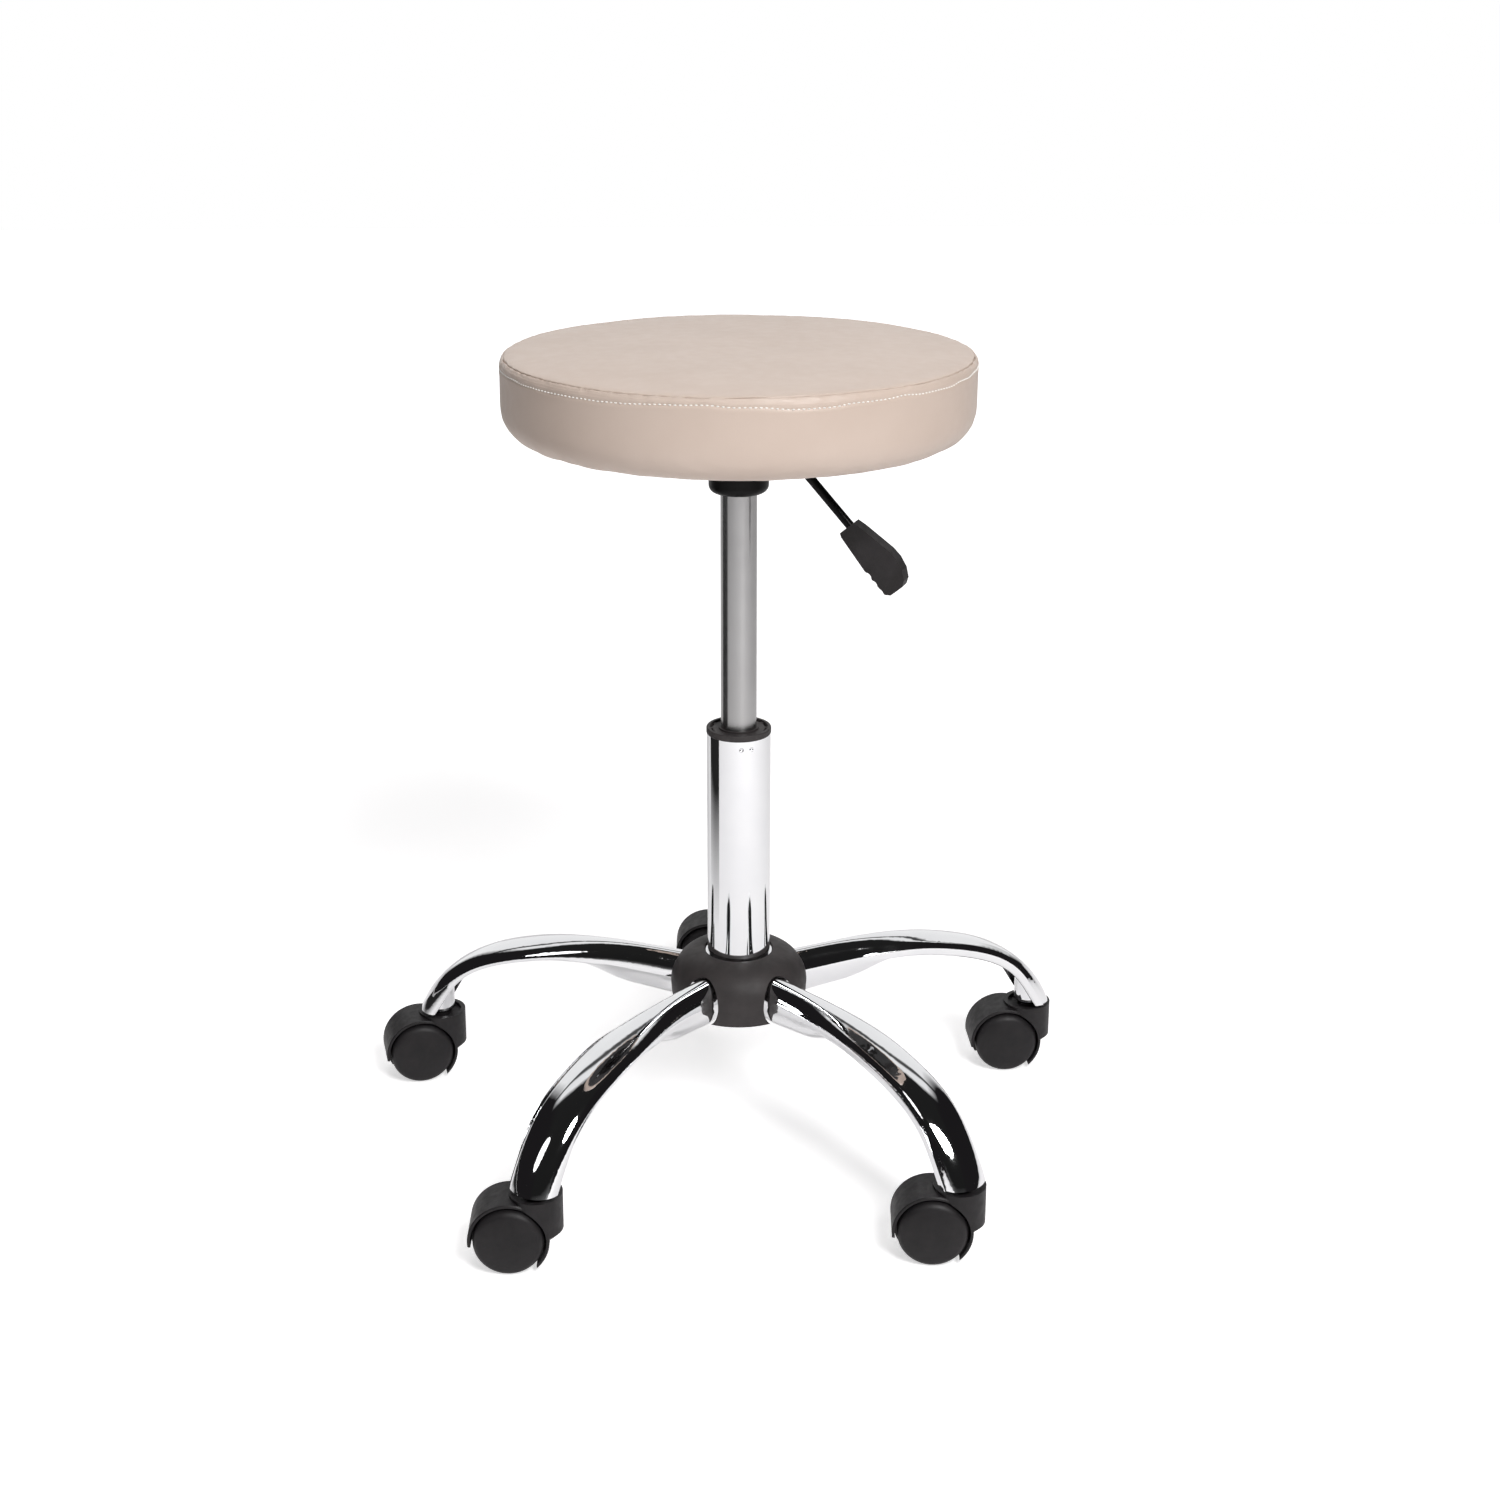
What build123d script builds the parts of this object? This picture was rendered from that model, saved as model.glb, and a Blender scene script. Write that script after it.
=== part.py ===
"""Height-adjustable pedicure stool: padded round seat, gas lift, five-leg chrome base, twin-wheel casters.

Frame: millimetres, origin on the floor under the column's axis, +Z up. The first leg points to
azimuth 18 degrees from +X, and the others follow every 72 degrees.
"""

from build123d import *
import math
import os

os.makedirs("parts", exist_ok=True)

# ---- driving dimensions (mm, degrees) ----

# Base
LEG_COUNT = 5
FIRST_LEG_AZIMUTH = 18.0
STEM_CIRCLE_R = 262.0
LEG_AZIMUTHS = [FIRST_LEG_AZIMUTH + 360.0 / LEG_COUNT * k for k in range(LEG_COUNT)]

# Hub
SLEEVE_R = 27.0
SLEEVE_BOTTOM_Z = 97.0
SLEEVE_TOP_Z = 146.3
COVER_R = 54.4
COVER_WIDEST_Z = 116.6
COVER_COLLAR_R = 27.5
COVER_TOP_R = 29.8
COVER_TOP_Z = 147.9
COVER_BOTTOM_Z = 102.8
COVER_ARCH_Z = 119.8
COVER_WALL = 2.2

# Legs: round 30 mm tube, an upright oval at the hub, pressed flat into a channel towards the tip
LEG_HALF_WIDTH_HUB = 12.8
LEG_HALF_WIDTH_TIP = 20.0
LEG_RISE_HUB = 18.2
LEG_RISE_BEND = 10.8
LEG_RISE_TIP = 15.7
LEG_WALL = 1.5
LEG_END_Z = 60.2
LEG_CROWN = [
    (20.5, 137.6), (61.4, 139.0), (102.4, 140.4), (143.4, 138.1), (180.4, 131.8), (213.6, 122.1),
    (241.9, 106.7), (262.2, 87.7), (275.4, 67.6), (281.4, 49.2),
]

# Caster stems and their sockets
STEM_R = 5.5
STEM_TOP_Z = 77.0
STEM_BOTTOM_Z = 31.0
STEM_COLLAR_R = 8.0
GRIP_RING_Z = 67.0
SOCKET_R = 11.0
SOCKET_BOTTOM_Z = 59.8

# Casters
WHEEL_R = 25.8
AXLE_R = 3.0
TRAIL = 19.6
BOSS_R = 19.5
BOSS_TOP_Z = 57.2
HOOD_R = 29.8
HOOD_WALL = 2.2
HOOD_HALF_WIDTH = 17.5
HOOD_END_Z = 22.0
WEB_HALF = 4.5
WHEEL_INNER_Y = 8.6
WHEEL_TREAD_Y = 19.1
WHEEL_FACE_Y = 24.2
GATE_MARK_R = 1.5
CASTER_TRAIL_AZIMUTHS = [181.1, 178.1, 192.1, 179.1, 176.1]

# Gas lift
TUBE_R = 25.0
TUBE_WALL = 1.5
TUBE_FOOT_R = 24.3
TUBE_BOTTOM_Z = 94.0
TUBE_TOP_Z = 331.9
DIMPLE_Z = 325.7
DIMPLE_AZIMUTHS = (-87.0, -68.6)
FLANGE_TOP_Z = 336.8
FLANGE_R = 25.4
BUSH_BOTTOM_Z = 251.9
CYLINDER_R = 14.0
CYLINDER_WALL = 1.5
CYLINDER_BOTTOM_Z = 254.0
CYLINDER_TOP_Z = 549.5
CYLINDER_HEAD_R = 13.3
ROD_R = 5.0
ROD_NECK_R = 4.0
BALL_R = 2.0
BALL_COUNT = 12
BALL_CIRCLE_R = 9.5
RACE_R = 13.0
RACE_THICKNESS = 1.5
BEARING_BOTTOM_Z = TUBE_BOTTOM_Z + 3.0
BALL_Z = BEARING_BOTTOM_Z + 3.55
BEARING_TOP_Z = BEARING_BOTTOM_Z + 7.1
BUMPER_HEIGHT = 7.8
CLIP_Z = TUBE_BOTTOM_Z - 1.5
GLAND_LENGTH = 20.0
PISTON_Z = CYLINDER_BOTTOM_Z + GLAND_LENGTH + 1.5
PISTON_LENGTH = 10.0
CHAMBER_TOP_Z = 508.0
RUN_FIT = 0.06
REST_GAP = 0.4

# Seat
SEAT_R = 180.0
SEAT_TOP_Z = 635.2
SEAT_BOTTOM_Z = 570.0
SEAT_TOP_EDGE_R = 4.0
SEAT_ROLL_R = 24.0
COVER_THICKNESS = 1.2
COVER_HEM_R = 137.0
BOARD_R = 156.0
BOARD_THICKNESS = 15.0
DUST_COVER_R = 148.0
DUST_COVER_THICKNESS = 0.8
STAPLE_COUNT = 36
STAPLE_CIRCLE_R = 142.5

# Seat plate and socket
PLATE_SIZE = 150.0
PLATE_THICKNESS = 3.0
PLATE_TOP_Z = SEAT_BOTTOM_Z - DUST_COVER_THICKNESS
PLATE_BOLT_SPACING = 120.0
PAN_R = 33.0
PAN_BOTTOM_Z = 545.0
SEAT_SOCKET_R = 23.0
SEAT_SOCKET_NECK_R = 19.0
SEAT_SOCKET_BOTTOM_Z = 525.0
BOLT_R = 3.0

# Lever: a bent rod that tilts in a nylon bush in the pan's wall
LEVER_AZIMUTH = -22.0
LEVER_Z = 559.8
LEVER_ROD_R = 3.5
LEVER_BEND_X = 38.8
LEVER_DROP_ANGLE = 47.0
LEVER_ROD_RUN = 100.0
LEVER_TIP_X = -3.0
LEVER_PIVOT_X = 31.5
GRIP_ANGLE = 50.0
GRIP_START = (88.4, 506.2)
GRIP_HALF_THICKNESS = 6.5
BUTTON_R = 4.0
BUTTON_BOTTOM_Z = 530.0
BUTTON_TOP_Z = 555.8

UPWARD = (Align.CENTER, Align.CENTER, Align.MIN)


# ---- helpers ----

def save(name, shape):
    """Write one sub-part under its node name."""
    shape.label = name
    export_step(shape, f"parts/{name}.step")


def disc(radius, z_low, z_high):
    """A solid cylinder on the column's axis."""
    return Pos(0, 0, z_low) * Cylinder(radius, z_high - z_low, align=UPWARD)


def ring(outer, inner, z_low, z_high):
    """A round ring on the column's axis."""
    return disc(outer, z_low, z_high) - disc(inner, z_low - 1, z_high + 1)


def turned(edges):
    """A solid of revolution about Z from edges in the XZ plane."""
    return revolve(make_face(edges), Axis.Z)


def around(shape, count, first=0.0):
    """The same shape repeated about Z as separate solids."""
    return Compound([Rot(0, 0, first + 360.0 / count * k) * shape for k in range(count)])


def smooth(value, low, high):
    """0 below low, 1 above high, with a smooth rise between them."""
    t = min(1.0, max(0.0, (value - low) / (high - low)))
    return t * t * (3.0 - 2.0 * t)


# ---- base: legs, sleeve, hub cover, stems ----

def leg_shape_at(radius):
    """Half width, rise of the crown above the edges, and how far the tube is pressed shut (0 to 1)."""
    half_width = LEG_HALF_WIDTH_HUB + (LEG_HALF_WIDTH_TIP - LEG_HALF_WIDTH_HUB) * smooth(radius, 70, 185)
    rise = LEG_RISE_HUB + (LEG_RISE_BEND - LEG_RISE_HUB) * smooth(radius, 60, 175)
    rise += (LEG_RISE_TIP - LEG_RISE_BEND) * smooth(radius, 235, 272)
    pressed = smooth(radius, 95, 185)
    return half_width, rise, pressed


def leg_plane(path, u):
    """The plane across the leg at the crown point u: x across the leg, y out of its top."""
    return Plane(origin=path @ u, x_dir=(0, 1, 0), z_dir=path % u)


def leg_section(path, u):
    """The leg's outline at u, between an upright oval and a channel with a double wall."""
    half_width, rise, pressed = leg_shape_at((path @ u).X)
    wall = 2 * LEG_WALL
    crown = [math.radians(18 * step) for step in range(11)]
    top = Spline(
        [(half_width * math.cos(angle), rise * (math.sin(angle) - 1)) for angle in crown],
        tangents=[(0, 1), (0, -1)])
    lips = []
    for side in (-1, 1):
        oval = (side * half_width * math.cos(math.radians(9)), -rise * (1 + math.sin(math.radians(9))))
        channel = (side * (half_width - wall / 2), -rise - wall / 2)
        lips.append(tuple(o + (c - o) * pressed for o, c in zip(oval, channel)))
    floor = []
    for degrees in range(198, 343, 18):
        angle = math.radians(degrees)
        oval_y = rise * (math.sin(angle) - 1)
        channel_y = -rise - (rise - wall) * math.sin(angle)
        x = (half_width - wall * pressed) * math.cos(angle)
        floor.append((x, oval_y + (channel_y - oval_y) * pressed))
    bottom = Spline([(-half_width, -rise), lips[0]] + floor + [lips[1], (half_width, -rise)])
    return leg_plane(path, u) * make_face([top, bottom])


def leg_bore_section(path, u):
    """The hollow inside the oval part of the leg, closing towards the pressed part."""
    half_width, rise, pressed = leg_shape_at((path @ u).X)
    height = (rise - LEG_WALL) * (1 - 0.7 * smooth((path @ u).X, 90, 140))
    return leg_plane(path, u) * Pos(0, -rise) * Ellipse(half_width - LEG_WALL, height)


def leg():
    """One leg along +X, from the sleeve's wall to its cut end over the caster."""
    path = Spline([(x, 0, z) for x, z in LEG_CROWN])
    body = loft([leg_section(path, k / 14) for k in range(15)])
    bore = loft([leg_bore_section(path, k / 20) for k in range(8)])
    below_end = Pos(STEM_CIRCLE_R, 0, LEG_END_Z) * Box(
        90, 90, 60, align=(Align.CENTER, Align.CENTER, Align.MAX))
    stem_hole = Pos(STEM_CIRCLE_R, 0, 0) * disc(STEM_R + 0.4, LEG_END_Z, STEM_TOP_Z + 0.5)
    return body - bore - disc(SLEEVE_R, 0, 200) - below_end - stem_hole


def hub_sleeve():
    """Steel sleeve that the legs are welded to, with the tapered seat for the lift's outer tube."""
    gap = 0.02
    blank = disc(SLEEVE_R, SLEEVE_BOTTOM_Z, SLEEVE_TOP_Z)
    blank = chamfer(blank.edges().group_by(Axis.Z)[-1], 0.4)
    slope = (TUBE_R - TUBE_FOOT_R) / (SLEEVE_TOP_Z - TUBE_BOTTOM_Z)
    low = TUBE_FOOT_R + slope * (SLEEVE_BOTTOM_Z - 1 - TUBE_BOTTOM_Z) + gap
    high = TUBE_R + slope + gap
    bore = Pos(0, 0, SLEEVE_BOTTOM_Z - 1) * Cone(low, high, SLEEVE_TOP_Z - SLEEVE_BOTTOM_Z + 2, align=UPWARD)
    return blank - bore


def cover_profile(inset):
    """Half outline of the hub cover's dome, moved inwards by inset."""
    top = COVER_TOP_Z - inset
    bottom = COVER_BOTTOM_Z - (1 if inset else 0)
    widest = COVER_R - inset
    crown = ThreePointArc(
        (COVER_TOP_R - 0.3 * inset, 0, top),
        (COVER_R - 6.1 - 0.75 * inset, 0, COVER_TOP_Z - 9.5 - 0.7 * inset),
        (widest, 0, COVER_WIDEST_Z))
    skirt = ThreePointArc(
        (widest, 0, COVER_WIDEST_Z), (widest - 0.7, 0, COVER_WIDEST_Z - 7.3), (widest - 2.6, 0, bottom))
    base = Polyline(
        (widest - 2.6, 0, bottom), (0, 0, bottom), (0, 0, top), (COVER_TOP_R - 0.3 * inset, 0, top))
    return [crown, skirt] + base.edges()


def hub_cover():
    """Moulded dome over the hub with an arched cut-out round each leg."""
    shell = turned(cover_profile(0)) - turned(cover_profile(COVER_WALL))
    shell -= disc(COVER_COLLAR_R, COVER_BOTTOM_Z, COVER_TOP_Z + 1)
    arch = Plane.YZ.offset(30) * Pos(0, COVER_ARCH_Z) * Ellipse(15.8, 19.8)
    cutter = extrude(arch, 40)
    for azimuth in LEG_AZIMUTHS:
        shell -= Rot(0, 0, azimuth) * cutter
    return shell


def at_stem(shape, azimuth):
    """Move a shape from the column's axis to a leg's stem axis."""
    return Rot(0, 0, azimuth) * Pos(STEM_CIRCLE_R, 0, 0) * shape


def stem_socket(leg_solid):
    """Short tube welded up into the leg's channel, along +X."""
    tube = Pos(STEM_CIRCLE_R, 0, 0) * ring(SOCKET_R, STEM_R + 0.35, SOCKET_BOTTOM_Z, LEG_END_Z + 50)
    pieces = (tube - leg_solid).solids()
    return min(pieces, key=lambda piece: piece.center().Z)


def caster_stem():
    """Steel stem with a collar and a groove for its grip ring."""
    stem = disc(STEM_R, STEM_BOTTOM_Z, STEM_TOP_Z)
    stem = chamfer(stem.edges().group_by(Axis.Z)[-1], 1.0)
    collar = disc(STEM_COLLAR_R, BOSS_TOP_Z + 0.4, BOSS_TOP_Z + 2.2)
    groove = ring(STEM_R + 1, STEM_R - 1.2, GRIP_RING_Z - 0.3, GRIP_RING_Z + 4.7)
    return stem + collar - groove


def grip_ring():
    """Split spring ring that holds a stem in its socket."""
    band = ring(STEM_R + 0.2, STEM_R - 0.9, GRIP_RING_Z, GRIP_RING_Z + 4.4)
    return band - Pos(STEM_R, 0, GRIP_RING_Z - 4) * Box(6, 1.2, 12, align=UPWARD)


# ---- gas lift ----

def lift_outer_tube():
    """Chromed tube: tapered foot, closed bottom with a hole for the rod, two locking dimples at the top."""
    blank = turned(Polyline(
        (0, 0, TUBE_BOTTOM_Z), (TUBE_FOOT_R, 0, TUBE_BOTTOM_Z), (TUBE_R, 0, SLEEVE_TOP_Z),
        (TUBE_R, 0, TUBE_TOP_Z), (0, 0, TUBE_TOP_Z), close=True))
    foot_inner = TUBE_FOOT_R - TUBE_WALL
    hollow = turned(Polyline(
        (0, 0, TUBE_BOTTOM_Z + 3), (foot_inner, 0, TUBE_BOTTOM_Z + 3), (TUBE_R - TUBE_WALL, 0, SLEEVE_TOP_Z),
        (TUBE_R - TUBE_WALL, 0, TUBE_TOP_Z + 1), (0, 0, TUBE_TOP_Z + 1), close=True))
    tube = blank - hollow - disc(ROD_NECK_R + REST_GAP, TUBE_BOTTOM_Z - 1, TUBE_BOTTOM_Z + 4)
    for azimuth in DIMPLE_AZIMUTHS:
        tube -= Rot(0, 0, azimuth) * Pos(TUBE_R + 1.0, 0, DIMPLE_Z) * Sphere(2.0)
    return tube


def lift_guide_bush():
    """Plastic guide in the tube's mouth, with a flange whose face has arc slots and short spokes."""
    body = ring(TUBE_R - TUBE_WALL - 0.02, CYLINDER_R + RUN_FIT, BUSH_BOTTOM_Z, TUBE_TOP_Z)
    flange = ring(FLANGE_R, CYLINDER_R + RUN_FIT, TUBE_TOP_Z, FLANGE_TOP_Z)
    flange = fillet(flange.edges().filter_by(GeomType.CIRCLE).sort_by(SortBy.RADIUS)[-2:], 0.8)
    bush = body + flange - ring(22.6, 15.6, FLANGE_TOP_Z - 1.2, FLANGE_TOP_Z + 1)
    slot_ring = ring(22.2, 20.4, FLANGE_TOP_Z - 4.2, FLANGE_TOP_Z)
    spokes = Compound([
        Rot(0, 0, 30 * k) * Pos(21, 0, FLANGE_TOP_Z - 5) * Box(8, 3.0, 8, align=UPWARD) for k in range(12)])
    return bush - (slot_ring - spokes)


def bearing_cage():
    """Thin plastic cage between the races."""
    cage = ring(12.4, 6.6, BALL_Z - 0.75, BALL_Z + 0.75)
    return cage - around(Pos(BALL_CIRCLE_R, 0, BALL_Z) * Cylinder(BALL_R + 0.1, 6), BALL_COUNT)


def piston_rod():
    """Rod with a lower neck for the clip and an upper neck for the piston."""
    rod = disc(ROD_NECK_R, TUBE_BOTTOM_Z - 3.5, PISTON_Z + 14) + disc(ROD_R, BEARING_TOP_Z, PISTON_Z)
    return rod - ring(ROD_NECK_R + 1, ROD_NECK_R - 0.8, CLIP_Z - 0.1, CLIP_Z + 1.1)


def rod_clip():
    """Spring clip in the rod's lower groove."""
    clip = ring(8.0, ROD_NECK_R - 0.7, CLIP_Z, CLIP_Z + 1)
    return clip - Pos(5, 0, CLIP_Z) * Box(12, 5.0, 8)


def gas_cylinder():
    """Ground steel cylinder: open below for the gland, solid tapered head above with the button's bore."""
    outer = turned(Polyline(
        (0, 0, CYLINDER_BOTTOM_Z), (CYLINDER_R, 0, CYLINDER_BOTTOM_Z), (CYLINDER_R, 0, SEAT_SOCKET_BOTTOM_Z),
        (CYLINDER_HEAD_R, 0, CYLINDER_TOP_Z), (0, 0, CYLINDER_TOP_Z), close=True))
    chamber = disc(CYLINDER_R - CYLINDER_WALL, CYLINDER_BOTTOM_Z - 1, CHAMBER_TOP_Z)
    return outer - chamber - disc(BUTTON_R + RUN_FIT, BUTTON_BOTTOM_Z - 6, CYLINDER_TOP_Z + 1)


# ---- seat ----

def cushion_profile(inset):
    """Half outline of the seat, moved inwards by inset."""
    side = SEAT_R - inset
    roll = SEAT_ROLL_R - inset
    top_edge = SEAT_TOP_EDGE_R - 0.5 * inset
    low = SEAT_BOTTOM_Z + inset
    high = SEAT_TOP_Z - inset
    flat = side - roll
    half_turn = math.sqrt(0.5)
    roll_middle = (flat + roll * half_turn, 0, low + roll - roll * half_turn)
    corner_middle = (side - top_edge + top_edge * half_turn, 0, high - top_edge + top_edge * half_turn)
    base = Line((0, 0, low), (flat, 0, low))
    bottom_roll = ThreePointArc((flat, 0, low), roll_middle, (side, 0, low + roll))
    band = Line((side, 0, low + roll), (side, 0, high - top_edge))
    corner = ThreePointArc((side, 0, high - top_edge), corner_middle, (side - top_edge, 0, high))
    lid = Polyline((side - top_edge, 0, high), (0, 0, high), (0, 0, low))
    return [base, bottom_roll, band, corner] + lid.edges()


def plate_holes(radius, z_low, z_high):
    """Four cylinders at the seat plate's bolt pattern."""
    half = PLATE_BOLT_SPACING / 2
    return Compound([
        Pos(x, y, 0) * disc(radius, z_low, z_high) for x in (-half, half) for y in (-half, half)])


def staple():
    """One staple with its crown across the hem, at azimuth 0."""
    crown_z = SEAT_BOTTOM_Z - DUST_COVER_THICKNESS - 0.6
    crown = Pos(STAPLE_CIRCLE_R, 0, crown_z) * Box(0.9, 10, 0.6, align=UPWARD)
    for side in (-1, 1):
        crown += Pos(STAPLE_CIRCLE_R, side * 4.7, crown_z) * Box(0.9, 0.6, 8, align=UPWARD)
    return crown


def seat_plate():
    """Pressed steel plate: square bolting flange and a round pan that clears the lever and the button."""
    flange_low = PLATE_TOP_Z - PLATE_THICKNESS
    flange = Pos(0, 0, flange_low) * extrude(RectangleRounded(PLATE_SIZE, PLATE_SIZE, 14), PLATE_THICKNESS)
    pan = disc(PAN_R, PAN_BOTTOM_Z, flange_low + 1)
    pan = fillet(pan.edges().group_by(Axis.Z)[0], 4.0)
    plate = flange + pan - disc(PAN_R - PLATE_THICKNESS, PAN_BOTTOM_Z + PLATE_THICKNESS, PLATE_TOP_Z + 1)
    plate -= disc(SEAT_SOCKET_NECK_R, PAN_BOTTOM_Z - 1, PAN_BOTTOM_Z + 5)
    plate -= plate_holes(BOLT_R + 0.3, flange_low - 1, PLATE_TOP_Z + 1)
    return plate - along_lever(Cylinder(5.5, 16), LEVER_PIVOT_X)


def seat_socket():
    """Tapered socket welded under the pan, with a rounded lower rim."""
    socket = disc(SEAT_SOCKET_R, SEAT_SOCKET_BOTTOM_Z, PAN_BOTTOM_Z)
    socket = fillet(socket.edges().group_by(Axis.Z)[0], 6.0)
    socket += disc(SEAT_SOCKET_NECK_R, PAN_BOTTOM_Z, CYLINDER_TOP_Z)
    gap = 0.02
    height = CYLINDER_TOP_Z - SEAT_SOCKET_BOTTOM_Z
    bore = Pos(0, 0, SEAT_SOCKET_BOTTOM_Z) * Cone(CYLINDER_R + gap, CYLINDER_HEAD_R + gap, height, align=UPWARD)
    return socket - bore


def plate_bolt():
    """Hexagon bolt up through the plate into its tee nut."""
    head_top = PLATE_TOP_Z - PLATE_THICKNESS - 1.2
    head = Pos(0, 0, head_top - 4) * extrude(RegularPolygon(5.77, 6), 4)
    return head + disc(BOLT_R, head_top, SEAT_BOTTOM_Z + 12)


def tee_nut():
    """Flanged nut pressed into the board from above."""
    board_top = SEAT_BOTTOM_Z + COVER_THICKNESS + BOARD_THICKNESS
    nut = disc(4.0, board_top - 11, board_top) + disc(9.0, board_top, board_top + 1.2)
    return nut - disc(BOLT_R + 0.03, board_top - 12, board_top + 2)


def at_bolts(shape):
    """The shape repeated at the four plate bolts as separate solids."""
    half = PLATE_BOLT_SPACING / 2
    return Compound([Pos(x, y, 0) * shape for x in (-half, half) for y in (-half, half)])


# ---- lever ----

def along_lever(shape, distance):
    """Lay a Z-axis shape along the lever's level run, centred at distance from the column's axis."""
    return Rot(0, 0, LEVER_AZIMUTH) * Pos(distance, 0, LEVER_Z) * Rot(0, 90, 0) * shape


def lever_rod():
    """Bent steel rod from above the valve button, out through the bush and down to the grip."""
    drop = math.radians(LEVER_DROP_ANGLE)
    end = (LEVER_BEND_X + LEVER_ROD_RUN * math.cos(drop), 0, LEVER_Z - LEVER_ROD_RUN * math.sin(drop))
    path = FilletPolyline((LEVER_TIP_X, 0, LEVER_Z), (LEVER_BEND_X, 0, LEVER_Z), end, radius=10)
    section = Plane(origin=path @ 0, z_dir=path % 0) * Circle(LEVER_ROD_R)
    return Rot(0, 0, LEVER_AZIMUTH) * sweep(section, path)


def lever_grip(rod):
    """Paddle grip with a ridge along each side and three finger scallops under its end."""
    outline = Polyline(
        (0, -7.4), (3, -8.7), (33.5, -10), (57, -8.6), (60, -5), (60, 6), (57, 10.5), (50, 14.2),
        (41, 15.8), (33, 15.2), (7, 8.6), (0, 6.2), close=True)
    blade = extrude(make_face(outline), GRIP_HALF_THICKNESS, both=True)
    ridge = Pos(30, 3.5, 0)
    for side in (-1, 1):
        for face in (-1, 1):
            wedge = Pos(0, 0, side * GRIP_HALF_THICKNESS) * Rot(face * side * 16, 0, 0) * Pos(
                0, face * 15, side * 5) * Box(90, 30, 10)
            blade -= ridge * wedge
    for along in (38.5, 46.0, 53.5):
        blade -= Pos(along, -13.0, 0) * Cylinder(4.6, 30)
    placed = Pos(GRIP_START[0], 0, GRIP_START[1]) * Rot(0, GRIP_ANGLE, 0) * Rot(90, 0, 0) * blade
    return Rot(0, 0, LEVER_AZIMUTH) * placed - rod


def lever_bush():
    """Nylon bush in the pan's wall that the rod tilts in."""
    body = Cylinder(5.45, 6.0)
    rim = Pos(0, 0, 2.3) * Cylinder(5.8, 1.4)
    return along_lever(body + rim - Cylinder(LEVER_ROD_R + 0.8, 10), LEVER_PIVOT_X + 0.9)


# ---- casters: local +X is the trailing direction, origin on the floor under the stem ----

def along_axle(shape):
    """Lay a Z-axis shape along the caster's axle, with its Z turned to local +Y."""
    return Pos(TRAIL, 0, WHEEL_R) * Rot(-90, 0, 0) * shape


def caster_housing():
    """Boss with an open cup, central web and hood over both wheels, in one moulding."""
    boss = disc(BOSS_R, 24.0, BOSS_TOP_Z)
    boss = chamfer(boss.edges().group_by(Axis.Z)[0], 4.0)
    hood = along_axle(Cylinder(HOOD_R, 2 * HOOD_HALF_WIDTH))
    hood = chamfer(hood.edges(), 0.8)
    below = Pos(TRAIL + 20, 0, HOOD_END_Z) * Box(80, 60, 60, align=(Align.CENTER, Align.CENTER, Align.MAX))
    wells = along_axle(Cylinder(HOOD_R - HOOD_WALL, 60))
    web = along_axle(Cylinder(HOOD_R - HOOD_WALL + 0.5, 2 * WEB_HALF))
    web -= Pos(TRAIL, 0, 12) * Box(90, 60, 40, align=(Align.CENTER, Align.CENTER, Align.MAX))
    core = disc(8.0, 28.0, BOSS_TOP_Z - 0.9)
    housing = (boss + (hood - below)) - wells + web + core
    housing -= ring(15.8, 8.0, BOSS_TOP_Z - 2.6, BOSS_TOP_Z + 1)
    housing -= disc(STEM_R + RUN_FIT, STEM_BOTTOM_Z - REST_GAP, BOSS_TOP_Z + 1)
    return housing - along_axle(Cylinder(AXLE_R + 0.02, 60))


def caster_wheel():
    """Domed wheel, hollow behind, with a hub and six ribs, on the local +Y side of the web."""
    rim_low = (WHEEL_R, 0, WHEEL_TREAD_Y - 3)
    rim_middle = (WHEEL_R - 1.4, 0, WHEEL_TREAD_Y - 0.1)
    rim_high = (WHEEL_R - 4.5, 0, WHEEL_TREAD_Y + 1.9)
    outer = turned([
        Line((0, 0, WHEEL_INNER_Y), (WHEEL_R - 0.8, 0, WHEEL_INNER_Y)),
        Line((WHEEL_R - 0.8, 0, WHEEL_INNER_Y), (WHEEL_R, 0, WHEEL_INNER_Y + 0.8)),
        Line((WHEEL_R, 0, WHEEL_INNER_Y + 0.8), rim_low),
        ThreePointArc(rim_low, rim_middle, rim_high),
        ThreePointArc(rim_high, (WHEEL_R / 2 - 1, 0, WHEEL_FACE_Y - 0.9), (GATE_MARK_R, 0, WHEEL_FACE_Y)),
        Line((GATE_MARK_R, 0, WHEEL_FACE_Y), (0, 0, WHEEL_FACE_Y)),
        Line((0, 0, WHEEL_FACE_Y), (0, 0, WHEEL_INNER_Y)),
    ])
    wheel = outer - ring(WHEEL_R - 3.2, 6.2, WHEEL_INNER_Y - 1, WHEEL_TREAD_Y - 0.9)
    wheel -= disc(AXLE_R + RUN_FIT, WHEEL_INNER_Y - 1, 20.0)
    for k in range(6):
        wheel += Rot(0, 0, 60 * k) * Pos(14, 0, 11.0) * Box(16.2, 1.6, 7.0, align=UPWARD)
    return wheel


def place_caster(shape, index):
    """Move a local caster shape to its leg, trailing to its own side."""
    azimuth = math.radians(LEG_AZIMUTHS[index])
    stem = Pos(STEM_CIRCLE_R * math.cos(azimuth), STEM_CIRCLE_R * math.sin(azimuth), 0)
    return stem * Rot(0, 0, CASTER_TRAIL_AZIMUTHS[index]) * shape


# ---- write every sub-part ----

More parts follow.
